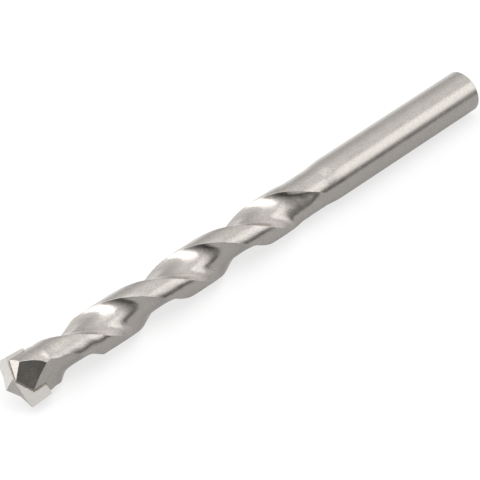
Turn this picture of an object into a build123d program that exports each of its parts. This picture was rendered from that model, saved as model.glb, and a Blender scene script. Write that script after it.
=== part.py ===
"""Masonry drill bit: a right-hand two-flute steel body whose slotted, ground tip
holds a brazed carbide cutting plate.  Units are millimetres.

The bit lies on its side: the axis is world X, the tip points to -X and the origin
is the centre of the shank's end face.  Every piece is first made in a bit frame
(z along the axis from the tip point, x along the plate's width, y through its
thickness) and is then laid down by lay_down()."""
import math
import os

from build123d import *

os.makedirs("parts", exist_ok=True)

# overall
LENGTH = 120.0             # tip point to shank end
SHANK_DIAMETER = 8.6
SHANK_LENGTH = 37.9        # plain cylinder, end chamfer included
SHANK_CHAMFER = 0.35
ROLL = 38.3                # turn about the axis in which the bit lies

# neck between flutes and shank
NECK_DIAMETER = 7.98
NECK_TAPER = 3.9           # length over which the neck swells to the shank
NECK_SLOPE = 0.07          # steepness where the swell leaves the neck
LAND_END = 68.0            # lands keep their full height up to here
NECK_START = 73.8          # and have come down to the neck here

# helix and cross-section
LAND_DIAMETER = 8.70       # over the lands, once they have grown to full size
LAND_FULL = 46.0           # distance from the tip where they have
HEAD_DIAMETER = 8.48       # over the lands at the tip
LEAD = 41.62               # one full turn
LEADING_PHASE = -67.7      # angle of a land's leading edge at the tip point
LAND_ARC = 59.5            # degrees from leading edge to heel
CORE_DIAMETER = 5.12       # web left between the two flutes
CORE_TIP_GAIN = 0.34       # thicker web at the tip

# head: flutes run straight past the plate, then turn into the helix
HEAD_LEAD = -1.0           # angle of a land's leading edge in the head
HEAD_HEEL = 86.0           # and of its heel
HEAD_LENGTH = 8.0
HEAD_TURN = 6.5            # length over which the flutes come into the helix
HEAD_HEEL_TURN = 3.2       # degrees for each mm in which the heel edge does so
TURN_AHEAD = 1.2           # the leading edge begins to turn this far before HEAD_LENGTH
CROWN_CHANGE = (-2.5, 1.5) # before and after HEAD_LENGTH, where the head's crown gives way

# shares of the way across a land, and the height there in the helix and in the head
LAND_CROWN = ((0.0, 0.982, 1.030), (0.20, 0.996, 1.016), (0.50, 1.0, 1.007),
              (0.80, 1.0, 1.004), (1.0, 0.990, 1.002))
# shares of the way across a flute, and the depth there in the helix and in the head
FLUTE_DEPTH = ((0.0, 0.0, 0.0), (0.03, 0.28, 0.13), (0.09, 0.565, 0.36), (0.20, 0.80, 0.70),
               (0.36, 0.955, 0.93), (0.55, 1.0, 1.0), (0.74, 0.93, 0.89), (0.88, 0.64, 0.60),
               (0.955, 0.27, 0.26), (1.0, 0.0, 0.0))

# run-out of the flutes into the neck: heel side last, leading side first
RUNOUT_HEEL = 69.8         # the flute's floor starts to rise here beside the heel
RUNOUT_LEAD = 65.6         # and here beside the next leading edge
RUNOUT_LENGTH = 5.6
HEEL_TRACE = 0.17          # share of the depth left as a shallow step under the heel edge
TRACE_END = 78.9

# carbide plate
PLATE_WIDTH = 10.2
PLATE_THICKNESS = 2.1
PLATE_LENGTH = 6.8         # tip point to the plate's back end
EDGE_DROP = 1.08           # roof ridge behind the tip point
EDGE_RISE = 0.285          # fall-back of the cutting edge for each mm outwards
EDGE_RELIEF = 24.0         # relief angle behind each cutting edge
POINT_RISE = 0.86          # steeper flanks of the centring point
POINT_RELIEF = 39.5
THINNING_ANGLE = 59.5      # ground flats that thin the centring point
SIDE_RELIEF = 5.0          # clearance of the plate's outer ends
BACK_TAPER = 2.9           # by which each outer end leans in towards the back
FULL_WIDTH_AT = 2.0        # distance from the tip at which the plate has its stated width
PLATE_BREAK = 0.12         # broken back edges of the plate

# slot, braze and ground flats of the steel jaws
BRAZE_GAP = 0.09
JAW_DROP = 1.30            # jaw ends stand back from the carbide by this
JAW_RISE = 0.305
JAW_RELIEF = 26.9
GASH_START = 0.235         # ground flat that frees the rake face of the far wing
GASH_SIDE = 0.623
GASH_SLOPE = 1.775
RAKE_OPEN = 2.95           # steel covers the plate up to here, the wing is bare beyond

# distances between the sections of the fluted part: where it changes, and between
CLOSE_SPACING = 1.45
WIDE_SPACING = 2.9
OVERLAP = 0.9              # the neck and the swell run this far into each other
FAR = 40.0                 # side of the blocks that cut


def smooth(value, start, end):
    """Ease from 0 at start to 1 at end."""
    share = min(max((value - start) / (end - start), 0.0), 1.0)
    return share * share * (3.0 - 2.0 * share)


def across(table, share, column=1):
    """Value in a column of a table of shares, straight between its rows."""
    for low, high in zip(table, table[1:]):
        if share <= high[0]:
            part = (share - low[0]) / (high[0] - low[0])
            return low[column] + (high[column] - low[column]) * part
    return table[-1][column]


def lead_angle(z):
    """Angle of the first land's leading edge at height z."""
    start = HEAD_LENGTH - TURN_AHEAD
    turned = smooth(z, start, start + HEAD_TURN)
    return HEAD_LEAD + (LEADING_PHASE + 360.0 * z / LEAD - HEAD_LEAD) * turned


def heel_angle(z):
    """Angle of the first land's heel at height z."""
    straight = HEAD_HEEL + HEAD_HEEL_TURN * max(z - HEAD_LENGTH, 0.0)
    return max(straight, LEADING_PHASE + LAND_ARC + 360.0 * z / LEAD)


def land_radius(share, z):
    """Radius of the crowned land: it grows from the head on, and comes down to the neck."""
    grown = min(max(z / LAND_FULL, 0.0), 1.0)
    radius = (HEAD_DIAMETER + (LAND_DIAMETER - HEAD_DIAMETER) * grown) / 2
    helical = smooth(z, HEAD_LENGTH + CROWN_CHANGE[0], HEAD_LENGTH + CROWN_CHANGE[1])
    crown = across(LAND_CROWN, share) * helical + across(LAND_CROWN, share, 2) * (1 - helical)
    full = radius * crown
    return full + (NECK_DIAMETER / 2 - full) * smooth(z, LAND_END, NECK_START)


def flute_radius(share, z):
    """Radius inside a flute: from heel (0) down to the web and up to the next land (1)."""
    heel, lead = land_radius(1.0, z), land_radius(0.0, z)
    rim = heel + (lead - heel) * share
    web = CORE_DIAMETER / 2 + CORE_TIP_GAIN / 2 * (1.0 - z / LAND_END)
    helical = smooth(z, HEAD_LENGTH, HEAD_LENGTH + HEAD_TURN)
    depth = across(FLUTE_DEPTH, share) * helical + across(FLUTE_DEPTH, share, 2) * (1 - helical)
    deep = rim - (rim - web) * depth
    start = RUNOUT_HEEL + (RUNOUT_LEAD - RUNOUT_HEEL) * share
    trace = HEEL_TRACE * max(1.0 - 1.6 * share, 0.0) * (1.0 - smooth(z, NECK_START, TRACE_END))
    filled = NECK_DIAMETER / 2 + (rim - NECK_DIAMETER / 2) * (1.0 - depth) ** 2
    return deep + (filled - deep) * (1.0 - trace) * smooth(z, start, start + RUNOUT_LENGTH)


def section(z):
    """Closed outline at height z: land, flute, land, flute."""
    lead, heel, edges = lead_angle(z), heel_angle(z), []
    for turn in (0.0, 180.0):
        rows = ((LAND_CROWN, land_radius, lead + turn, heel - lead),
                (FLUTE_DEPTH, flute_radius, heel + turn, 180.0 + lead - heel))
        for table, radius, begin, arc in rows:
            shares = [row[0] for row in table]
            points = []
            for share in shares:
                angle, r = math.radians(begin + arc * share), radius(share, z)
                points.append((r * math.cos(angle), r * math.sin(angle), z))
            edges.append(Edge.make_spline(points, parameters=shares))
    return Wire(edges)


def heights():
    """Heights of the sections: close in the head and in the run-out, wide between."""
    end = LENGTH - SHANK_LENGTH - NECK_TAPER + OVERLAP
    stops = (-0.6, HEAD_LENGTH + HEAD_TURN + 1.0, RUNOUT_LEAD - 1.0, end)
    found = [stops[0]]
    for low, high, step in zip(stops, stops[1:], (CLOSE_SPACING, WIDE_SPACING, CLOSE_SPACING)):
        count = round((high - low) / step)
        found += [low + (high - low) * i / count for i in range(1, count + 1)]
    return found


def fluted_part():
    """Twisted two-flute part; its far end is buried in the swell of the shank."""
    return Solid.make_loft([section(z) for z in heights()])


def shank():
    """Swell from the neck, plain shank and chamfered end."""
    full, r, c = LENGTH - SHANK_LENGTH, SHANK_DIAMETER / 2, SHANK_CHAMFER
    start = full - NECK_TAPER - OVERLAP
    low = NECK_DIAMETER / 2 - NECK_SLOPE * OVERLAP
    swell = Spline((low, 0, start), (r, 0, full), tangents=((NECK_SLOPE, 0, 1), (0, 0, 1)))
    rest = Polyline((r, 0, full), (r, 0, LENGTH - c), (r - c, 0, LENGTH), (0, 0, LENGTH),
                    (0, 0, start), (low, 0, start))
    return revolve(make_face([swell, rest]), Axis.Z)


def in_front_of(height, slope_x, slope_y):
    """Block of everything with z < height + slope_x * x + slope_y * y."""
    normal = Vector(-slope_x, -slope_y, 1.0)
    plane = Plane(origin=(0, 0, height), z_dir=normal)
    return plane * Box(FAR, FAR, FAR, align=(Align.CENTER, Align.CENTER, Align.MAX))


def both_ways(height, slope_x, slope_y):
    """The block and its twin on the other side of the bit (half a turn about z)."""
    return [in_front_of(height, slope_x, slope_y), in_front_of(height, -slope_x, -slope_y)]


def slot(gap):
    """Space of the plate widened by gap on its flat sides and at its back end."""
    thick, depth = PLATE_THICKNESS + 2 * gap, PLATE_LENGTH + gap
    return Pos(0, 0, depth) * Box(FAR, thick, FAR, align=(Align.CENTER, Align.CENTER, Align.MAX))


def rake_openings():
    """Steel taken away in front of the bare rake face of each wing."""
    space = Pos(-RAKE_OPEN, PLATE_THICKNESS / 2, PLATE_LENGTH) * Box(
        FAR, FAR, FAR, align=(Align.MAX, Align.MIN, Align.MAX))
    return [space, Rot(0, 0, 180) * space]


def ground_blank():
    """Twisted part and shank in one piece with the jaws' ground flats, not yet slotted."""
    blank = fluted_part() + shank()
    flats = both_ways(JAW_DROP, JAW_RISE, math.tan(math.radians(JAW_RELIEF)))
    flats += both_ways(GASH_START, -GASH_SIDE, GASH_SLOPE)
    return blank - flats - rake_openings()


def carbide_plate():
    """Cutting plate: two relieved cutting edges and a thinned centring point."""
    box = Box(PLATE_WIDTH, PLATE_THICKNESS, PLATE_LENGTH,
              align=(Align.CENTER, Align.CENTER, Align.MIN))
    box = chamfer(box.edges().group_by(Axis.Z)[0].filter_by(Axis.Y), PLATE_BREAK * 3)
    for turn in (0, 180):
        side = Pos(PLATE_WIDTH / 2, -PLATE_THICKNESS / 2, FULL_WIDTH_AT)
        lean = Rot(0, -BACK_TAPER, SIDE_RELIEF)
        block = Box(FAR, FAR, FAR, align=(Align.MIN, Align.CENTER, Align.CENTER))
        box -= Rot(0, 0, turn) * side * lean * block
    roof = box - both_ways(EDGE_DROP, EDGE_RISE, math.tan(math.radians(EDGE_RELIEF)))
    point = box - both_ways(0.0, POINT_RISE, math.tan(math.radians(POINT_RELIEF)))
    return roof + point - both_ways(0.0, 0.0, math.tan(math.radians(THINNING_ANGLE)))


def lay_down(piece):
    """Bit frame to world: axis along X, tip at -LENGTH, rolled as it lies."""
    roll = math.radians(ROLL)
    world = Plane(origin=(-LENGTH, 0, 0), x_dir=(0, math.cos(roll), math.sin(roll)), z_dir=(1, 0, 0))
    return world * piece


def save(piece, name):
    """Write one laid-down piece."""
    solids = lay_down(piece).solids()
    print(name, "solids", len(solids), "valid", all(s.is_valid for s in solids),
          "volume", round(sum(s.volume for s in solids), 2))
    export_step(Compound(children=solids) if len(solids) > 1 else solids[0], f"parts/{name}.step")


blank = ground_blank()
save(blank - slot(BRAZE_GAP), "steel_body")
save(carbide_plate(), "carbide_plate")
save(blank & (slot(BRAZE_GAP) - slot(0.0)), "braze_seam")
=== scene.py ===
import logging
import math
from dataclasses import dataclass
from enum import Enum
from typing import Sequence

import bpy
import numpy as np
from mathutils import Matrix, Vector


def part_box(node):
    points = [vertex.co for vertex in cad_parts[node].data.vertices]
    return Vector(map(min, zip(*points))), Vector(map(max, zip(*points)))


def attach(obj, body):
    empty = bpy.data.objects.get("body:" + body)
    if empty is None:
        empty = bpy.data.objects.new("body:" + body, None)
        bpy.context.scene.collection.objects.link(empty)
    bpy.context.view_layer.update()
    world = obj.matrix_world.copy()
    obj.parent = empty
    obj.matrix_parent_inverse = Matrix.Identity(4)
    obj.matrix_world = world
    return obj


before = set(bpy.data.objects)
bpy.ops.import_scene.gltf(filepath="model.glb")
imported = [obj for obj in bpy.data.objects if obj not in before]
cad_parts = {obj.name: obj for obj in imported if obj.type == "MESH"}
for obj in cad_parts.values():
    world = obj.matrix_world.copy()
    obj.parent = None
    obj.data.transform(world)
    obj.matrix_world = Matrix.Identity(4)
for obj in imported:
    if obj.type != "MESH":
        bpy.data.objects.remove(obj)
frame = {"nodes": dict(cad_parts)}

Colour = tuple[float, float, float]
Socket = bpy.types.NodeSocket
log = logging.getLogger("masonry_bit")
MM = 0.001
WHITE = (1.0, 1.0, 1.0, 1.0)

# Finishes: where a noise value turns into tone, roughness or a pit, and where the bent normal at an arris
# turns into a lighter colour that is partly wear and partly a painted highlight
TONE_BAND = (0.32, 0.68)
TONE_WEIGHTS = {"grain": 0.85, "blotch": 0.15}
ROUGH_BAND = (0.3, 0.7)
ROUGH_WEIGHTS = {"blotch": 0.6, "marks": 0.4}
PIT_BAND = (0.26, 0.36)
PIT_TONE = 0.35
WEAR_AND_HIGHLIGHT_BAND = (0.90, 0.997)


class Axis(Enum):
    """Direction in which a pattern is drawn out, as the scale of its coordinates."""

    ALONG = (0.06, 1.0, 1.0)
    NONE = (1.0, 1.0, 1.0)


class Graph:
    """Small helper that adds nodes to a material or world and links them."""

    def __init__(self, tree: bpy.types.NodeTree) -> None:
        """Start on an emptied node tree."""
        self.tree = tree
        tree.nodes.clear()

    def feed(self, socket: Socket, value: object) -> None:
        """Link a socket to the input, or set a plain value on it.

        Args:
            socket: the input.
            value: another node's output, or a number, vector or colour.
        """
        if isinstance(value, Socket):
            self.tree.links.new(value, socket)
        else:
            socket.default_value = value

    def add(self, kind: str, inputs: dict | None = None, **settings: object) -> bpy.types.Node:
        """Add one node.

        Args:
            kind: Blender's node type.
            inputs: values or sockets to feed, by input name or index.
            settings: plain properties of the node.
        Returns:
            The new node.
        """
        node = self.tree.nodes.new(kind)
        for name, value in settings.items():
            setattr(node, name, value)
        for key, value in (inputs or {}).items():
            self.feed(node.inputs[key], value)
        return node

    def math(self, operation: str, a: object, b: object = 0.0) -> Socket:
        """One Math node; returns its result."""
        return self.add("ShaderNodeMath", {0: a, 1: b}, operation=operation).outputs[0]

    def weigh(self, a: object, a_weight: float, b: object, b_weight: float) -> Socket:
        """Weighted sum of two values."""
        return self.math("ADD", self.math("MULTIPLY", a, a_weight), self.math("MULTIPLY", b, b_weight))

    def dot(self, a: object, b: object) -> Socket:
        """Dot product of two vectors."""
        return self.add("ShaderNodeVectorMath", {0: a, 1: b}, operation="DOT_PRODUCT").outputs["Value"]

    def spread(self, value: object, band: tuple[float, float], low: float, high: float) -> Socket:
        """Turn a value that runs over a band into one from low to high, with soft ends.

        Args:
            value: the value or socket.
            band: where the low and the high end of the result are reached.
            low: result below the band.
            high: result above the band.
        Returns:
            The result.
        """
        return self.add("ShaderNodeMapRange",
                        {"Value": value, "From Min": band[0], "From Max": band[1],
                         "To Min": low, "To Max": high},
                        interpolation_type="SMOOTHSTEP").outputs["Result"]

    def blend(self, share: object, a: Socket | Colour, b: Socket | Colour) -> Socket:
        """Mix two colours.

        Args:
            share: 0 gives colour a and 1 gives colour b.
            a: a colour or a socket with one.
            b: a colour or a socket with one.
        Returns:
            The mixed colour.
        """
        mixed = self.add("ShaderNodeMix", {"Factor": share}, data_type="RGBA")
        for name, value in (("A", a), ("B", b)):
            self.feed(mixed.inputs[name], value if isinstance(value, Socket) else (*value, 1.0))
        return mixed.outputs["Result"]

    def noise(self, place: Socket, size: float, detail: float = 3.0, stretch: Axis = Axis.NONE) -> Socket:
        """Noise whose grains measure about size metres.

        Args:
            place: coordinate socket.
            size: size of a grain in metres.
            detail: octaves.
            stretch: direction in which grains are drawn out.
        Returns:
            The noise's grey value.
        """
        turned = self.add("ShaderNodeMapping", {"Vector": place, "Scale": stretch.value})
        grain = self.add("ShaderNodeTexNoise", {"Vector": turned.outputs[0], "Scale": 1.0 / size,
                                                "Detail": detail, "Roughness": 0.6})
        return grain.outputs["Fac"]

    def bump(self, height: Socket, distance: float, normal: Socket) -> Socket:
        """Normal that a height leaves on top of another normal."""
        return self.add("ShaderNodeBump", {"Height": height, "Distance": distance, "Strength": 1.0,
                                           "Normal": normal}).outputs[0]


@dataclass(frozen=True)
class MetalFinish:
    """A bare metal surface: tone, grain, the marks of blasting or grinding, and arrises lightened partly
    as wear and partly as a painted highlight.

    Attributes:
        name: name of the material.
        light: colour of the bright grains.
        dark: colour of the dull grains.
        roughness: middle of the roughness.
        rough_swing: how far the roughness goes up and down from there.
        grain: size of a grain.
        grain_height: height of the grain.
        blotch: size of the patches of uneven tone.
        marks: width of a tool mark.
        marks_height: height of a tool mark.
        marks_way: direction in which the tool marks run.
        edge_round: radius to which the light sees an arris rounded.
        wear_and_highlight_tone: colour of an arris, partly wear and partly a painted highlight.
        wear_and_highlight_share: how much of that colour an arris takes.
        pit: size of a pit.
        pit_share: how much of its dark colour a pit takes.
    """

    name: str
    light: Colour
    dark: Colour
    roughness: float
    rough_swing: float
    grain: float
    grain_height: float
    blotch: float
    marks: float
    marks_height: float
    marks_way: Axis
    edge_round: float
    wear_and_highlight_share: float
    pit_share: float
    # lighter colour of every arris: partly wear, partly a painted highlight
    wear_and_highlight_tone: Colour = (0.78, 0.75, 0.71)
    pit: float = 0.55 * MM

    def build(self) -> bpy.types.Material:
        """Make the node material.

        Fine noise is the grain, a coarse noise the uneven tone, and a stretched noise the
        marks of the tool; grain and marks set the bump, tone and marks the roughness. Sparse
        dark pits come from the low end of one more noise. The rounded normal of the Bevel
        node softens the arrises, and where it leaves the true normal the colour is lightened,
        partly as wear and partly as a painted highlight along every arris.

        Returns:
            The material.
        """
        material = bpy.data.materials.new(self.name)
        material.use_nodes = True
        graph = Graph(material.node_tree)
        place = graph.add("ShaderNodeTexCoord").outputs["Object"]
        grain = graph.noise(place, self.grain, 4.0)
        blotch = graph.noise(place, self.blotch, 2.0)
        marks = graph.noise(place, self.marks, 3.0, self.marks_way)
        pits = graph.spread(graph.noise(place, self.pit, 5.0), PIT_BAND, self.pit_share, 0.0)
        rounded = graph.add("ShaderNodeBevel", {"Radius": self.edge_round}, samples=6).outputs[0]
        flat = graph.add("ShaderNodeNewGeometry").outputs["Normal"]
        # mask of the arrises where the colour is lightened: partly wear, partly a painted highlight
        edge = graph.spread(graph.dot(rounded, flat), WEAR_AND_HIGHLIGHT_BAND, self.wear_and_highlight_share, 0.0)

        tone = graph.weigh(grain, TONE_WEIGHTS["grain"], blotch, TONE_WEIGHTS["blotch"])
        colour = graph.blend(graph.spread(tone, TONE_BAND, 0.0, 1.0), self.dark, self.light)
        colour = graph.blend(pits, colour, tuple(PIT_TONE * part for part in self.dark))
        # painted highlight along the arrises, together with wear: the colour is lightened towards
        # wear_and_highlight_tone
        colour = graph.blend(edge, colour, self.wear_and_highlight_tone)
        uneven = graph.weigh(blotch, ROUGH_WEIGHTS["blotch"], marks, ROUGH_WEIGHTS["marks"])
        rough = graph.spread(uneven, ROUGH_BAND, self.roughness - self.rough_swing,
                             self.roughness + self.rough_swing)
        normal = graph.bump(marks, self.marks_height, rounded)
        normal = graph.bump(grain, self.grain_height, normal)
        shader = graph.add("ShaderNodeBsdfPrincipled", {"Base Color": colour, "Roughness": rough,
                                                        "Metallic": 1.0, "Normal": normal})
        graph.add("ShaderNodeOutputMaterial", {"Surface": shader.outputs[0]})
        return material


BLASTED_STEEL = MetalFinish(
    name="blasted_steel", light=(0.61, 0.575, 0.54), dark=(0.48, 0.45, 0.42),
    roughness=0.25, rough_swing=0.03, grain=0.24 * MM, grain_height=0.012 * MM, blotch=2.6 * MM,
    marks=0.35 * MM, marks_height=0.004 * MM, marks_way=Axis.ALONG,
    edge_round=0.10 * MM, wear_and_highlight_share=0.45, pit_share=0.4)
GROUND_CARBIDE = MetalFinish(
    name="ground_carbide", light=(0.60, 0.575, 0.55), dark=(0.50, 0.48, 0.455),
    roughness=0.42, rough_swing=0.05, grain=0.09 * MM, grain_height=0.005 * MM, blotch=0.9 * MM,
    marks=0.12 * MM, marks_height=0.004 * MM, marks_way=Axis.ALONG,
    edge_round=0.05 * MM, wear_and_highlight_share=0.45, pit_share=0.15)
BRAZE_METAL = MetalFinish(
    name="braze_metal", light=(0.46, 0.41, 0.33), dark=(0.26, 0.225, 0.18),
    roughness=0.42, rough_swing=0.08, grain=0.12 * MM, grain_height=0.012 * MM, blotch=0.6 * MM,
    marks=0.3 * MM, marks_height=0.004 * MM, marks_way=Axis.NONE,
    edge_round=0.03 * MM, wear_and_highlight_share=0.2, pit_share=0.4)


@dataclass
class CarriedNode:
    """A solid of the frame that keeps its shape and gets its finish here."""

    node: str
    finish: MetalFinish

    def dress(self, objects: dict[str, bpy.types.Object]) -> bpy.types.Object:
        """Put the finish on the node.

        Args:
            objects: the frame's nodes by name.
        Returns:
            The dressed object.
        """
        piece = objects[self.node]
        piece.data.materials.clear()
        piece.data.materials.append(self.finish.build())
        return piece


@dataclass
class BrazeBead:
    """The thin uneven bead of braze that stands out of the slot's mouth around the plate.

    The bit's own axes are x along the plate's width, y through its thickness and z back from
    the tip.

    Attributes:
        length: of the whole bit.
        roll: degrees by which the plate is turned as the bit lies.
        half_thick: from the middle of the plate to the bead.
        jaw_drop: least distance from the tip to a jaw's relief flat.
        jaw_rise: slope of the relief flat along x.
        jaw_slope: slope of the relief flat along y.
        gash_start: least distance from the tip to a jaw's gash flat.
        gash_side: slope of the gash flat along x.
        gash_slope: slope of the gash flat along y.
        open_at: x at which a jaw ends by its flute.
        land_at: x at which a jaw ends by its land.
        back: z of the plate's rear edge.
        back_way: x and y of the points at which the bead crosses behind the plate.
        radius: of the bead.
        uneven: share by which the radius swells and shrinks.
        ripples: number along the bead, and phase, of each sine in that swelling.
        soften: times that the line is averaged with its neighbours.
        steps: points along the bead.
        around: points round the bead.
        finish: of the bead.
    """

    length: float = 120.0 * MM
    roll: float = 38.3
    half_thick: float = 1.095 * MM
    jaw_drop: float = 1.30 * MM
    jaw_rise: float = 0.305
    jaw_slope: float = 0.507
    gash_start: float = 0.235 * MM
    gash_side: float = 0.623
    gash_slope: float = 1.775
    open_at: float = -2.95 * MM
    land_at: float = 4.15 * MM
    back: float = 6.85 * MM
    back_way: tuple[tuple[float, float], ...] = ((4.31 * MM, 0.2 * MM), (3.95 * MM, -0.5 * MM),
                                                 (3.3 * MM, -0.95 * MM))
    radius: float = 0.065 * MM
    uneven: float = 0.35
    ripples: tuple[tuple[int, float], ...] = ((23, 0.0), (37, 1.3), (61, 0.4))
    soften: int = 3
    steps: int = 900
    around: int = 10
    finish: MetalFinish = BRAZE_METAL

    def jaw_front(self, x: float) -> float:
        """Distance behind the tip at which a jaw's ground end meets the plate.

        The end is the further back of two flats, each a fixed drop plus a slope times the
        distance from its own ridge line.

        Args:
            x: place along the plate's width.
        Returns:
            The distance.
        """
        y = self.half_thick
        relief = self.jaw_drop + abs(self.jaw_rise * x + self.jaw_slope * y)
        gash = self.gash_start + abs(-self.gash_side * x + self.gash_slope * y)
        return max(relief, gash)

    def corners(self) -> np.ndarray:
        """Corner points of the closed line round both jaws.

        Each jaw has one corner list: up the edge of its opening, over the ridge of its ground
        end, back along its land and across behind the plate; the other jaw's is turned by half
        a turn about the axis.

        Returns:
            Points as rows (x, y, z).
        """
        y = self.half_thick
        ridge = (self.gash_start + self.gash_slope * y - self.jaw_drop - self.jaw_slope * y) / (
            self.jaw_rise + self.gash_side)
        front = [(x, y, self.jaw_front(x)) for x in (self.open_at, ridge, self.land_at)]
        behind = [(x, across, self.back) for x, across in self.back_way]
        jaw = np.array([(self.open_at, y, self.back), *front, (self.land_at, y, self.back), *behind])
        return np.concatenate((jaw, jaw * (-1.0, -1.0, 1.0)))

    def line(self) -> np.ndarray:
        """Points evenly spaced along the closed corner line, with its corners slightly rounded.

        The line is sampled by arc length, and each point is then averaged with its neighbours.

        Returns:
            Points as rows (x, y, z).
        """
        corners = self.corners()
        closed = np.vstack((corners, corners[:1]))
        run = np.concatenate(((0.0,), np.cumsum(np.linalg.norm(np.diff(closed, axis=0), axis=1))))
        at = np.linspace(0.0, run[-1], self.steps, endpoint=False)
        points = np.column_stack([np.interp(at, run, closed[:, i]) for i in range(3)])
        for _ in range(self.soften):
            points = (np.roll(points, 1, 0) + 2.0 * points + np.roll(points, -1, 0)) / 4.0
        return points

    def tube(self) -> np.ndarray:
        """Surface points of the bead as the bit lies, by step along the line and place round it.

        Around each point of the line a circle stands square to it. Its radius swells and
        shrinks by the mean of a few sines of the distance along the line. The grid is then
        rolled about the bit's axis and moved until the tip is a bit's length from the origin.

        Returns:
            Array of steps by around by three coordinates.
        """
        points = self.line()
        ahead = np.roll(points, -1, 0) - np.roll(points, 1, 0)
        ahead /= np.linalg.norm(ahead, axis=1, keepdims=True)
        out = points * (1.0, 1.0, 0.0)
        out -= ahead * (out * ahead).sum(1, keepdims=True)
        out /= np.linalg.norm(out, axis=1, keepdims=True)
        side = np.cross(ahead, out)
        turn = np.linspace(0.0, 2.0 * np.pi, self.steps, endpoint=False)
        wave = sum(np.sin(count * turn + phase) for count, phase in self.ripples) / len(self.ripples)
        thick = self.radius * (1.0 + self.uneven * wave)
        ring = np.linspace(0.0, 2.0 * np.pi, self.around, endpoint=False)
        spoke = (out[:, None] * np.cos(ring)[None, :, None]
                 + side[:, None] * np.sin(ring)[None, :, None])
        x, y, z = np.moveaxis(points[:, None] + thick[:, None, None] * spoke, -1, 0)
        roll = math.radians(self.roll)
        return np.stack((z - self.length, x * math.cos(roll) - y * math.sin(roll),
                         x * math.sin(roll) + y * math.cos(roll)), axis=-1)

    def build(self) -> bpy.types.Object:
        """Make the bead as a closed tube, each face spanning one step along and one round.

        Returns:
            The bead, riding on the body.
        """
        i, j = np.meshgrid(np.arange(self.steps), np.arange(self.around), indexing="ij")
        i2, j2 = (i + 1) % self.steps, (j + 1) % self.around
        faces = np.stack((i * self.around + j, i2 * self.around + j, i2 * self.around + j2,
                          i * self.around + j2), axis=-1).reshape(-1, 4)
        mesh = bpy.data.meshes.new("braze_bead")
        mesh.from_pydata(self.tube().reshape(-1, 3).tolist(), [], faces.tolist())
        mesh.shade_smooth()
        mesh.materials.append(self.finish.build())
        piece = bpy.data.objects.new("braze_bead", mesh)
        bpy.context.scene.collection.objects.link(piece)
        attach(piece, "root")
        return piece


def way_to(azimuth: float, elevation: float) -> Colour:
    """Unit vector towards a place of the surroundings.

    Args:
        azimuth: degrees from -Y towards +X.
        elevation: degrees above the horizon.
    Returns:
        The vector.
    """
    turn, lift = math.radians(azimuth), math.radians(elevation)
    return (math.sin(turn) * math.cos(lift), -math.cos(turn) * math.cos(lift), math.sin(lift))


@dataclass(frozen=True)
class Glow:
    """A soft round patch of the surroundings, lighter or darker than the rest."""

    azimuth: float
    elevation: float
    sharpness: float
    level: float


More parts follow.
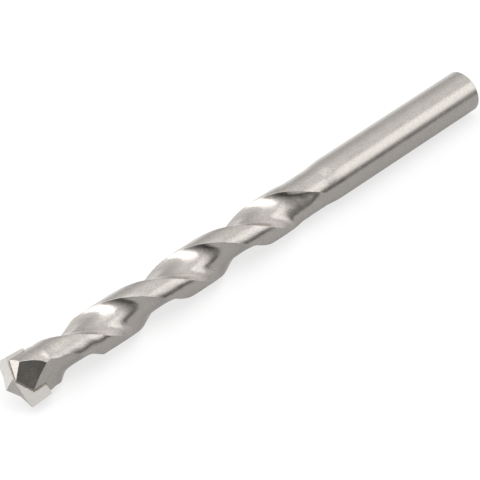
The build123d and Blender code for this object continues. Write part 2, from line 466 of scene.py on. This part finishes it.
@dataclass
class Studio:
    """Pale floor, soft light and camera.

    Attributes:
        floor_size: side of the square floor.
        floor_gap: between the bit's lowest point and the floor.
        floor_tone: grey of the floor for plain light.
        front_share: share of the floor's added white that metal gets in front of the bit.
        front_band: y at which that share ends and at which the full white begins.
        overhead_size: side of the lamp above the bit.
        overhead_place: where it hangs.
        overhead_power: in watts.
        side_size: side of the lamp by the shank.
        side_place: where it hangs.
        side_power: in watts.
        pale_tone: level of the surroundings for plain light.
        glows: patches in the surroundings.
        azimuth: of the camera.
        elevation: of the camera.
        distance: from the camera to the aim.
        aim: point that the camera and the lamps look at.
        lens: focal length in millimetres.
        sensor: width of the picture plane in millimetres.
        clip: nearest and furthest distance that the camera sees.
    """

    floor_size: float = 3.0
    floor_gap: float = 0.02 * MM
    floor_tone: float = 0.30
    front_share: float = 0.42
    front_band: tuple[float, float] = (-4 * MM, 3 * MM)
    overhead_size: float = 0.80
    overhead_place: Colour = (-0.1622, 0.0, 0.90)
    overhead_power: float = 3.3
    side_size: float = 0.55
    side_place: Colour = (0.495, -0.522, 0.54)
    side_power: float = 0.75
    pale_tone: float = 0.95
    glows: tuple[Glow, ...] = (Glow(-15.0, 14.0, 3.6, -0.99), Glow(31.0, 4.0, 45.0, -0.75),
                               Glow(135.0, 15.0, 8.0, -0.50), Glow(105.0, 0.0, 14.0, 2.5),
                               Glow(90.0, 0.0, 14.0, -1.4), Glow(-135.0, 0.0, 14.0, 2.0))
    azimuth: float = -44.33
    elevation: float = 42.2
    distance: float = 0.5288
    aim: Colour = (-0.0622, 0.0, -0.0007)
    lens: float = 211.37
    sensor: float = 36.0
    clip: tuple[float, float] = (0.01, 20.0)

    def floor(self, lowest: float) -> bpy.types.Object:
        """Flat square just under the bit, white where it is looked at, with the bit's shadow.

        What the shade lacks to white is added for the camera and for rays that metal or glass
        sends on; in front of the bit these get a smaller share, as over a grey card.

        Args:
            lowest: height of the bit's lowest point.
        Returns:
            The floor.
        """
        half, height = self.floor_size / 2, lowest - self.floor_gap
        corners = [(-half, -half, height), (half, -half, height), (half, half, height),
                   (-half, half, height)]
        mesh = bpy.data.meshes.new("floor")
        mesh.from_pydata(corners, [], [(0, 1, 2, 3)])
        material = bpy.data.materials.new("pale_floor")
        material.use_nodes = True
        graph = Graph(material.node_tree)
        rays = graph.add("ShaderNodeLightPath").outputs
        place = graph.add("ShaderNodeTexCoord").outputs["Object"]
        depth = graph.add("ShaderNodeSeparateXYZ", {0: place}).outputs["Y"]
        near = graph.spread(depth, self.front_band, self.front_share, 1.0)
        mirrored = graph.math("ADD", rays["Is Glossy Ray"], rays["Is Transmission Ray"])
        seen = graph.math("ADD", rays["Is Camera Ray"], graph.math("MULTIPLY", mirrored, near))
        matt = graph.add("ShaderNodeBsdfDiffuse", {"Color": (*(self.floor_tone,) * 3, 1.0)})
        missing = graph.math("MULTIPLY", seen, 1.0 - self.floor_tone)
        lift = graph.add("ShaderNodeEmission", {"Color": WHITE, "Strength": missing})
        both = graph.add("ShaderNodeAddShader", {0: matt.outputs[0], 1: lift.outputs[0]})
        graph.add("ShaderNodeOutputMaterial", {"Surface": both.outputs[0]})
        mesh.materials.append(material)
        piece = bpy.data.objects.new("floor", mesh)
        bpy.context.scene.collection.objects.link(piece)
        return piece

    def world(self) -> bpy.types.World:
        """White where the camera looks and in metal and glass, pale for plain light.

        All but the camera also get softly lighter and darker patches, as from reflectors and
        cards: each adds its level times e to the power of its sharpness times the cosine of
        the angle to its middle less one.

        Returns:
            The world.
        """
        world = bpy.data.worlds.new("studio")
        world.use_nodes = True
        bpy.context.scene.world = world
        graph = Graph(world.node_tree)
        way = graph.add("ShaderNodeTexCoord").outputs["Generated"]
        patches: float | Socket = 0.0
        for glow in self.glows:
            near = graph.math("SUBTRACT", graph.dot(way, way_to(glow.azimuth, glow.elevation)), 1.0)
            fall = graph.math("EXPONENT", graph.math("MULTIPLY", near, glow.sharpness))
            patches = graph.math("ADD", patches, graph.math("MULTIPLY", fall, glow.level))
        rays = graph.add("ShaderNodeLightPath").outputs
        seen = rays["Is Camera Ray"]
        for kind in ("Is Glossy Ray", "Is Transmission Ray"):
            seen = graph.math("MAXIMUM", seen, rays[kind])
        white = graph.add("ShaderNodeMix", {0: seen, 2: self.pale_tone, 3: 1.0}, data_type="FLOAT")
        hidden = graph.math("SUBTRACT", 1.0, rays["Is Camera Ray"])
        level = graph.math("ADD", white.outputs[0], graph.math("MULTIPLY", patches, hidden))
        back = graph.add("ShaderNodeBackground", {"Color": WHITE,
                                                  "Strength": graph.math("MAXIMUM", level, 0.0)})
        graph.add("ShaderNodeOutputWorld", {"Surface": back.outputs[0]})
        return world

    def place(self, name: str, data: bpy.types.ID, spot: Sequence[float]) -> bpy.types.Object:
        """Put a lamp or camera at a spot, looking at the aim.

        Args:
            name: name of the object.
            data: the lamp or camera.
            spot: where it stands.
        Returns:
            The object.
        """
        piece = bpy.data.objects.new(name, data)
        back = Vector(spot) - Vector(self.aim)
        piece.matrix_world = Matrix.Translation(spot) @ back.to_track_quat("Z", "Y").to_matrix().to_4x4()
        bpy.context.scene.collection.objects.link(piece)
        return piece

    def lamp(self, name: str, spot: Sequence[float], size: float, power: float) -> bpy.types.Object:
        """Square soft lamp, aimed at the bit.

        Args:
            name: name of the lamp.
            spot: where it hangs.
            size: side of the square.
            power: in watts.
        Returns:
            The lamp.
        """
        light = bpy.data.lights.new(name, "AREA")
        light.shape, light.size, light.energy = "SQUARE", size, power
        return self.place(name, light, spot)

    def camera(self) -> bpy.types.Object:
        """Camera at the photograph's angle, aimed near the middle of the bit.

        Returns:
            The camera, set as the scene's.
        """
        data = bpy.data.cameras.new("camera")
        data.lens, data.sensor_width = self.lens, self.sensor
        data.clip_start, data.clip_end = self.clip
        back = Vector(way_to(self.azimuth, self.elevation))
        piece = self.place("camera", data, Vector(self.aim) + back * self.distance)
        bpy.context.scene.camera = piece
        return piece

    def build(self, lowest: float) -> None:
        """Set up the whole studio.

        Args:
            lowest: height of the bit's lowest point.
        """
        self.floor(lowest)
        self.world()
        self.lamp("overhead", self.overhead_place, self.overhead_size, self.overhead_power)
        self.lamp("side", self.side_place, self.side_size, self.side_power)
        self.camera()
        bpy.context.scene.view_settings.view_transform = "Standard"


def main() -> None:
    """Dress the bit's pieces, add the bead and set up the studio."""
    logging.basicConfig(level=logging.INFO, format="%(name)s: %(message)s")
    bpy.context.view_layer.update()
    nodes = frame["nodes"]
    for part in (CarriedNode("steel_body", BLASTED_STEEL), CarriedNode("carbide_plate", GROUND_CARBIDE),
                 CarriedNode("braze_seam", BRAZE_METAL)):
        piece = part.dress(nodes)
        log.info("dressed %s with %s", piece.name, part.finish.name)
    bead = BrazeBead().build()
    log.info("built %s with %d faces", bead.name, len(bead.data.polygons))
    Studio().build(min(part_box(name)[0].z for name in nodes))


if __name__ == "__main__":
    main()
